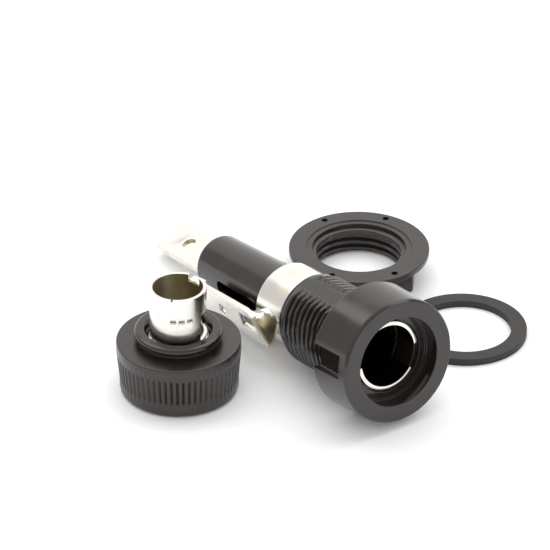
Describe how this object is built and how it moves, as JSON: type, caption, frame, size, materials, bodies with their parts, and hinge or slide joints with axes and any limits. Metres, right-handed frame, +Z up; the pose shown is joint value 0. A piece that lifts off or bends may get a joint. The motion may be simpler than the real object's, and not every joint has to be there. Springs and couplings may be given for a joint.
{
  "type": "cartridge fuse holder",
  "caption": "Panel-mount cartridge fuse holder laid out in parts: threaded holder with two terminals, fluted bayonet cap with fuse clip, panel nut and sealing washer.",
  "frame": {"origin": "on the bench, at the middle of the bottom of the laid-out parts' box", "axes": "+Z up from the bench, +X to the right and +Y to the back as the layout is seen from its front"},
  "size_m": [0.0548, 0.052, 0.0178],
  "materials": {
    "black_moulding": "satin moulded thermoset",
    "tinned_brass": "bright tin plating, slightly tarnished",
    "spring_steel": "drawn wire",
    "seal_rubber": "matt"
  },
  "bodies": {
    "holder": {"holder_body": "black_moulding", "front_contact_sleeve": "tinned_brass", "bridge_rivet": "tinned_brass", "side_terminal": "tinned_brass", "end_terminal": "tinned_brass", "spring_seat": "tinned_brass", "contact_spring": "spring_steel"},
    "plunger": {"contact_plunger": "tinned_brass"},
    "cap": {"cap_knob": "black_moulding", "cap_bush": "black_moulding", "cap_seal_ring": "seal_rubber", "clip_spring": "spring_steel"},
    "clip": {"clip_stem": "spring_steel", "clip_base": "tinned_brass", "fuse_clip": "tinned_brass"},
    "nut": {"panel_nut": "black_moulding"},
    "washer": {"sealing_washer": "seal_rubber"}
  },
  "joints": [
    {"name": "plunger_travel", "type": "slide", "parent": "holder", "child": "plunger", "axis": [-0.5599, 0.8177, -0.1338], "range_m": [0, 0.0015], "stiffness_N_per_m": 400, "deforming": ["contact_spring"]},
    {"name": "cap_lift", "type": "slide", "parent": "holder", "child": "cap", "axis": [0, 0, 1], "range_m": [0, 0.025]},
    {"name": "clip_travel", "type": "slide", "parent": "cap", "child": "clip", "axis": [0, 0, -1], "range_m": [0, 0.0012], "stiffness_N_per_m": 500, "deforming": ["clip_spring"]},
    {"name": "nut_turn", "type": "hinge", "parent": "holder", "child": "nut", "pos_m": [0.00503, 0.01625, 0.00225], "axis": [0, 0, 1], "continuous": true},
    {"name": "washer_lift", "type": "slide", "parent": "holder", "child": "washer", "axis": [0, 0, 1], "range_m": [0, 0.02]}
  ]
}
